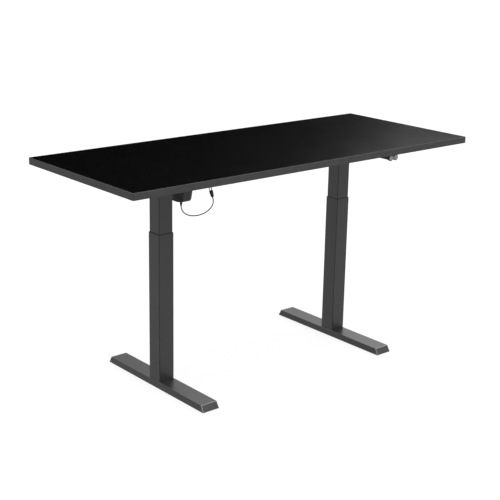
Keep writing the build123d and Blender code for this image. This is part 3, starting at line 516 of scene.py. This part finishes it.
def arrow_loop(size, level, point_up):
    """Rounded triangle, the sign for up or down."""
    points = []
    for corner in range(3):
        heading = math.radians(90 if point_up else -90) + corner * math.radians(120)
        middle = Vector((math.cos(heading), math.sin(heading), 0.0)) * (size - ARROW_CORNER)
        for step in range(-2, 3):
            angle = heading + step * math.radians(30)
            x, y = ARROW_CORNER * math.cos(angle), ARROW_CORNER * math.sin(angle)
            points.append(middle + Vector((x, y, level)))
    return points


def make_button(which):
    """Round dished button with a raised arrow."""
    low, high = corners(f"handset_{which}_button")
    centre = (low + high) / 2
    face = axis_frame((centre.x, low.y, centre.z), (0, -1, 0))
    edge = (high.x - low.x) / 2 / MM
    depth = (high.y - low.y) / MM
    profile = [(BUTTON_STEM, -depth), (BUTTON_STEM, -BUTTON_DEPTH), (edge - 0.3, -BUTTON_DEPTH)]
    profile += [(edge, -BUTTON_DEPTH + 0.3), (edge, -1.0)]
    profile += [(edge - 1.0 + math.cos(a), -1.0 + math.sin(a)) for a in (0.4, 0.8, 1.2)]
    profile += [(edge - 1.6, 0.0), (edge - 2.0, -0.1), (edge - 2.2, -0.45), (edge - 2.6, -0.45)]
    profile += [(edge - 2.9, -0.2), (edge - 4.5, -0.42), (1.5, -0.52), (0.3, -0.54)]
    bm = bmesh.new()
    turned(bm, profile, face, 56)
    sizes = ((ARROW, -0.7), (ARROW, -0.15), (ARROW - 0.25, -0.03))
    skin(bm, [arrow_loop(size, level, which == "up") for size, level in sizes], face)
    name = f"handset_{which}_button"
    return new_piece(f"{name}_cap", bm, f"{which}_button", "button_plastic", [name])


def waist_loop(half_pitch, radius, half_height, level, count=14):
    """Outline of the plate that fills the space between the two button rings."""
    heights = [half_height * (2 * step / count - 1) for step in range(count + 1)]
    side = [(half_pitch - math.sqrt(radius**2 - height**2), height) for height in heights]
    outline = side + [(-x, height) for x, height in reversed(side)]
    return [Vector((x, height, level)) for x, height in outline]


def make_fascia():
    """Grey front of the handset: a rounded ring round each button and a plate between them."""
    shell_low, shell_high = corners("handset_shell")
    bm = bmesh.new()
    middles = []
    for which in ("up", "down"):
        low, high = corners(f"handset_{which}_button")
        centre = (low + high) / 2
        middles.append(centre)
        face = axis_frame((centre.x, shell_low.y, centre.z), (0, -1, 0))
        section = [(BOSS_INNER, -0.5), (BOSS_INNER, 0.35), (BOSS_INNER + 0.25, 0.6)]
        section += [(BOSS_OUTER - 0.35, 0.6), (BOSS_OUTER, 0.2), (BOSS_OUTER, -0.5)]
        hoop(bm, section, face)
    middle = (middles[0] + middles[1]) / 2
    plate_low = shell_low.z / MM + 5.6
    plate_high = shell_high.z / MM - 0.4
    plate_z = (plate_low + plate_high) / 2
    plate_at = axis_frame((middle.x, shell_low.y, plate_z * MM), (0, -1, 0))
    half_pitch = abs(middles[1].x - middles[0].x) / 2 / MM
    half_z = min((plate_high - plate_low) / 2, PLATE_RIM - 0.4)
    sizes = ((half_z, -1.3), (half_z, -0.5), (half_z - 0.3, -0.25))
    skin(bm, [waist_loop(half_pitch, PLATE_RIM, half, level) for half, level in sizes], plate_at)
    new_piece("handset_fascia", bm, "top", "button_plastic", material="handset_grey")


def make_box_vents():
    """Louvres moulded on the control box's floor."""
    board_low, board_high = corners("control_circuit_board")
    middle = (board_low + board_high) / 2
    floor = board_low.z - BOX_WALL * MM
    bm = bmesh.new()
    for row in range(LOUVRES):
        y = middle.y + (LOUVRE_PITCH * row - 8) * MM
        louvre = axis_frame((middle.x + 6 * MM, y, floor), (0, 0, -1))
        loops = [round_rect(LOUVRE_HALF, 1.5, 1.4, level) for level in (-0.3, 0.2)]
        loops.append(round_rect(LOUVRE_HALF - 0.4, 0.8, 0.7, 0.7))
        skin(bm, loops, louvre)
    new_piece("control_box_louvres", bm, "top", "black_plastic")


def make_lead_reliefs():
    """Tapered sleeve round each control lead where it leaves the control box."""
    bm = bmesh.new()
    for route in (CONTROL_LEAD_A_ROUTE, CONTROL_LEAD_B_ROUTE):
        start = Vector(route[0])
        base = axis_frame(start, Vector(route[1]) - start)
        profile = [(3.4, -0.2), (3.4, 1.0)]
        for step in range(4):
            level = 1.6 + 2.2 * step
            radius = 3.1 - 0.25 * step
            profile += [(radius - 0.4, level), (radius, level + 0.2)]
            profile += [(radius - 0.1, level + 1.3), (radius - 0.5, level + 1.5)]
        profile += [(1.95, 11.0), (1.8, 11.4)]
        turned(bm, profile, base, 32)
    new_piece("control_lead_reliefs", bm, "top", "black_plastic")


def cap_face(name, end):
    """Bottom and top edge of an end cap's sloping face, in metres: (low x, high x, y, z) of each."""
    node = frame["nodes"][name]
    points = [node.matrix_world @ vertex.co for vertex in node.data.vertices]
    near = NEAR * MM
    tip = max(end * point.y for point in points)
    top = max(point.z for point in points)
    crest = max(end * point.y for point in points if top - point.z < near)
    low_row = [point for point in points if tip - end * point.y < near]
    upper = [point for point in points if top - point.z < 4 * MM]
    high_row = [point for point in upper if abs(end * point.y - crest) < near]
    edges = []
    for row in (low_row, high_row):
        across = [point.x for point in row]
        highest = max(row, key=lambda point: point.z)
        edges.append((min(across), max(across), highest.y, highest.z))
    return edges


def highlight_strip_outline(bottom, top, length):
    """Outline of the painted highlight strip: up one side of a tapering face, along its top and down the
    other side.
    """
    crest = length - HIGHLIGHT_STRIP_GAP
    outer = [(-bottom, HIGHLIGHT_STRIP_INSET), (-top, crest), (top, crest), (bottom, HIGHLIGHT_STRIP_INSET)]
    inner = [(bottom - HIGHLIGHT_STRIP_WIDTH, HIGHLIGHT_STRIP_INSET), (top - HIGHLIGHT_STRIP_WIDTH, crest - HIGHLIGHT_STRIP_WIDTH)]
    return outer + inner + [(-x, y) for x, y in reversed(inner)]


def make_cap_painted_highlights():
    """Pale strip round the sloping face of each foot's end caps: a painted highlight along the edges of
    that face.
    """
    bm = bmesh.new()
    for name in ("left_foot_end_caps", "right_foot_end_caps"):
        for end in (-1, 1):
            (x0, x1, y_low, z_low), (x2, x3, y_high, z_high) = cap_face(name, end)
            slope = Vector((0.0, y_high - y_low, z_high - z_low))
            across = Vector((-end, 0.0, 0.0))
            place = axis_frame(((x0 + x1) / 2, y_low, z_low), across.cross(slope), across)
            outline = highlight_strip_outline((x1 - x0) / 2 / MM, (x3 - x2) / 2 / MM, slope.length / MM)
            loops = [[Vector((x, y, level)) for x, y in reversed(outline)] for level in (-0.5, 0.15)]
            skin(bm, loops, place)
    new_piece("foot_cap_painted_highlights", bm, "base", "black_plastic", material="painted_edge_highlight")


BEVEL_FROM = math.radians(35)
# Bevel widths in millimetres.
EDGE_BEVELS = {
    "motor_shroud": 0.9,
    "left_foot_end_caps": 1.4,
    "right_foot_end_caps": 1.4,
    "left_foot_beam": 0.8,
    "right_foot_beam": 0.8,
    "handset_back": 0.3,
    "gearbox_covers": 0.4,
}


def soften_edges():
    """Small bevels on the CAD nodes' sharp edges, so that they catch the light."""
    for name, width in EDGE_BEVELS.items():
        bevel = frame["nodes"][name].modifiers.new("soft_edges", "BEVEL")
        bevel.width = width * MM
        bevel.segments = 3
        bevel.limit_method = "ANGLE"
        bevel.angle_limit = BEVEL_FROM
        bevel.use_clamp_overlap = False
        bevel.harden_normals = True


# ---- stage -----------------------------------------------------------------------------------
FLOOR_SIZE = 160.0
FLOOR_GLOW = 0.85        # the floor's own light, which keeps it an even pale tone
BACKDROP = 0.985
STUDIO_RIGHT = Vector((0.764, -0.645, 0.0))    # across the camera's view
STUDIO_AHEAD = Vector((0.645, 0.764, 0.0))
UP = Vector((0.0, 0.0, 1.0))

# The world's light by direction: where it begins, where it is full, and its strength there.
DOME = (0.36, 0.6, 2.0)
LEAN = (-0.12, 0.14, 0.2)          # lets the dome reach lower on the right
LEAN_FADE = (0.8, 0.3, 1.0)        # and takes that away again far to the right
RIGHT_GLOW = (0.05, 1.0, 0.6)
LEFT_GLOW = (-0.25, -1.0, 0.55)
SIDES_FADE = (0.3, 0.0, 1.0)
AHEAD_GLOW = (0.95, 1.25, 0.5)

LAMP_AT = Vector((0.5, -1.5, 5.0))
LAMP_AIM = Vector((0.0, 0.0, 0.5))
LAMP_SIDE = 6.0
LAMP_POWER = 160.0


def make_floor():
    bpy.ops.mesh.primitive_plane_add(size=FLOOR_SIZE)
    floor = bpy.context.object
    floor.name = "floor"
    floor.visible_glossy = False
    finish = Finish("floor")
    finish.colour(finish.noise(3.0, 3.0), grey(0.118), grey(0.122))
    finish.set(Roughness=0.9, Specular_IOR_Level=0.1, Emission_Color=grey(1.0))
    finish.set(Emission_Strength=FLOOR_GLOW)
    floor.data.materials.append(finish.material)


class Studio:
    """World light by direction: a dome overhead and a glow on either side."""

    def __init__(self):
        self.world = bpy.data.worlds.new("studio")
        self.world.use_nodes = True
        self.tree = self.world.node_tree
        self.tree.nodes.clear()
        self.direction = self.tree.nodes.new("ShaderNodeTexCoord").outputs["Generated"]

    def along(self, axis):
        """How far a direction points along an axis, from -1 to 1."""
        dot = self.tree.nodes.new("ShaderNodeVectorMath")
        dot.operation = "DOT_PRODUCT"
        dot.inputs[1].default_value = axis
        self.tree.links.new(self.direction, dot.inputs[0])
        return dot.outputs["Value"]

    def glow(self, source, start, end, strength, smooth="LINEAR"):
        """Light that grows from nothing at start to its full strength at end."""
        node = self.tree.nodes.new("ShaderNodeMapRange")
        node.interpolation_type = smooth
        for key, value in zip(SPAN_ENDS, (start, end, 0.0, strength)):
            node.inputs[key].default_value = value
        self.tree.links.new(source, node.inputs["Value"])
        return node.outputs["Result"]

    def join(self, operation, first, second):
        node = self.tree.nodes.new("ShaderNodeMath")
        node.operation = operation
        self.tree.links.new(first, node.inputs[0])
        self.tree.links.new(second, node.inputs[1])
        return node.outputs["Value"]

    def show(self, light, backdrop):
        """Light the scene with one strength and show the camera a plain backdrop of another."""
        new, link = self.tree.nodes.new, self.tree.links.new
        lit = new("ShaderNodeBackground")
        plain = new("ShaderNodeBackground")
        for node in (lit, plain):
            node.inputs["Color"].default_value = grey(1.0)
        link(light, lit.inputs["Strength"])
        plain.inputs["Strength"].default_value = backdrop
        path = new("ShaderNodeLightPath")
        mix = new("ShaderNodeMixShader")
        link(path.outputs["Is Camera Ray"], mix.inputs["Fac"])
        link(lit.outputs["Background"], mix.inputs[1])
        link(plain.outputs["Background"], mix.inputs[2])
        output = new("ShaderNodeOutputWorld")
        link(mix.outputs["Shader"], output.inputs["Surface"])


def make_world():
    studio = Studio()
    up = studio.along(UP)
    right = studio.along(STUDIO_RIGHT)
    lean = studio.join("MULTIPLY", studio.glow(right, *LEAN), studio.glow(right, *LEAN_FADE))
    dome = studio.glow(studio.join("ADD", up, lean), *DOME, "SMOOTHSTEP")
    sides = studio.join("ADD", studio.glow(right, *RIGHT_GLOW), studio.glow(right, *LEFT_GLOW))
    low_sides = studio.join("MULTIPLY", sides, studio.glow(up, *SIDES_FADE))
    ahead = studio.glow(studio.along(STUDIO_AHEAD - 0.8 * UP), *AHEAD_GLOW)
    total = studio.join("ADD", dome, studio.join("ADD", low_sides, ahead))
    studio.show(total, BACKDROP)
    scene.world = studio.world


def make_lamp():
    data = bpy.data.lights.new("soft_overhead", "AREA")
    data.size = LAMP_SIDE
    data.energy = LAMP_POWER
    lamp = bpy.data.objects.new("soft_overhead", data)
    lamp.location = LAMP_AT
    lamp.rotation_euler = (LAMP_AIM - LAMP_AT).to_track_quat("-Z", "Y").to_euler()
    scene.collection.objects.link(lamp)


# ---- the scene -------------------------------------------------------------------------------
make_camera()
materials = make_materials()
paint_nodes()
make_cords(make_plug(), make_connector())
make_button("up")
make_button("down")
make_fascia()
make_box_vents()
make_lead_reliefs()
# pale strips painted as highlights along the end caps' edges
make_cap_painted_highlights()
soften_edges()
make_floor()
make_world()
make_lamp()
scene.view_settings.view_transform = "Standard"
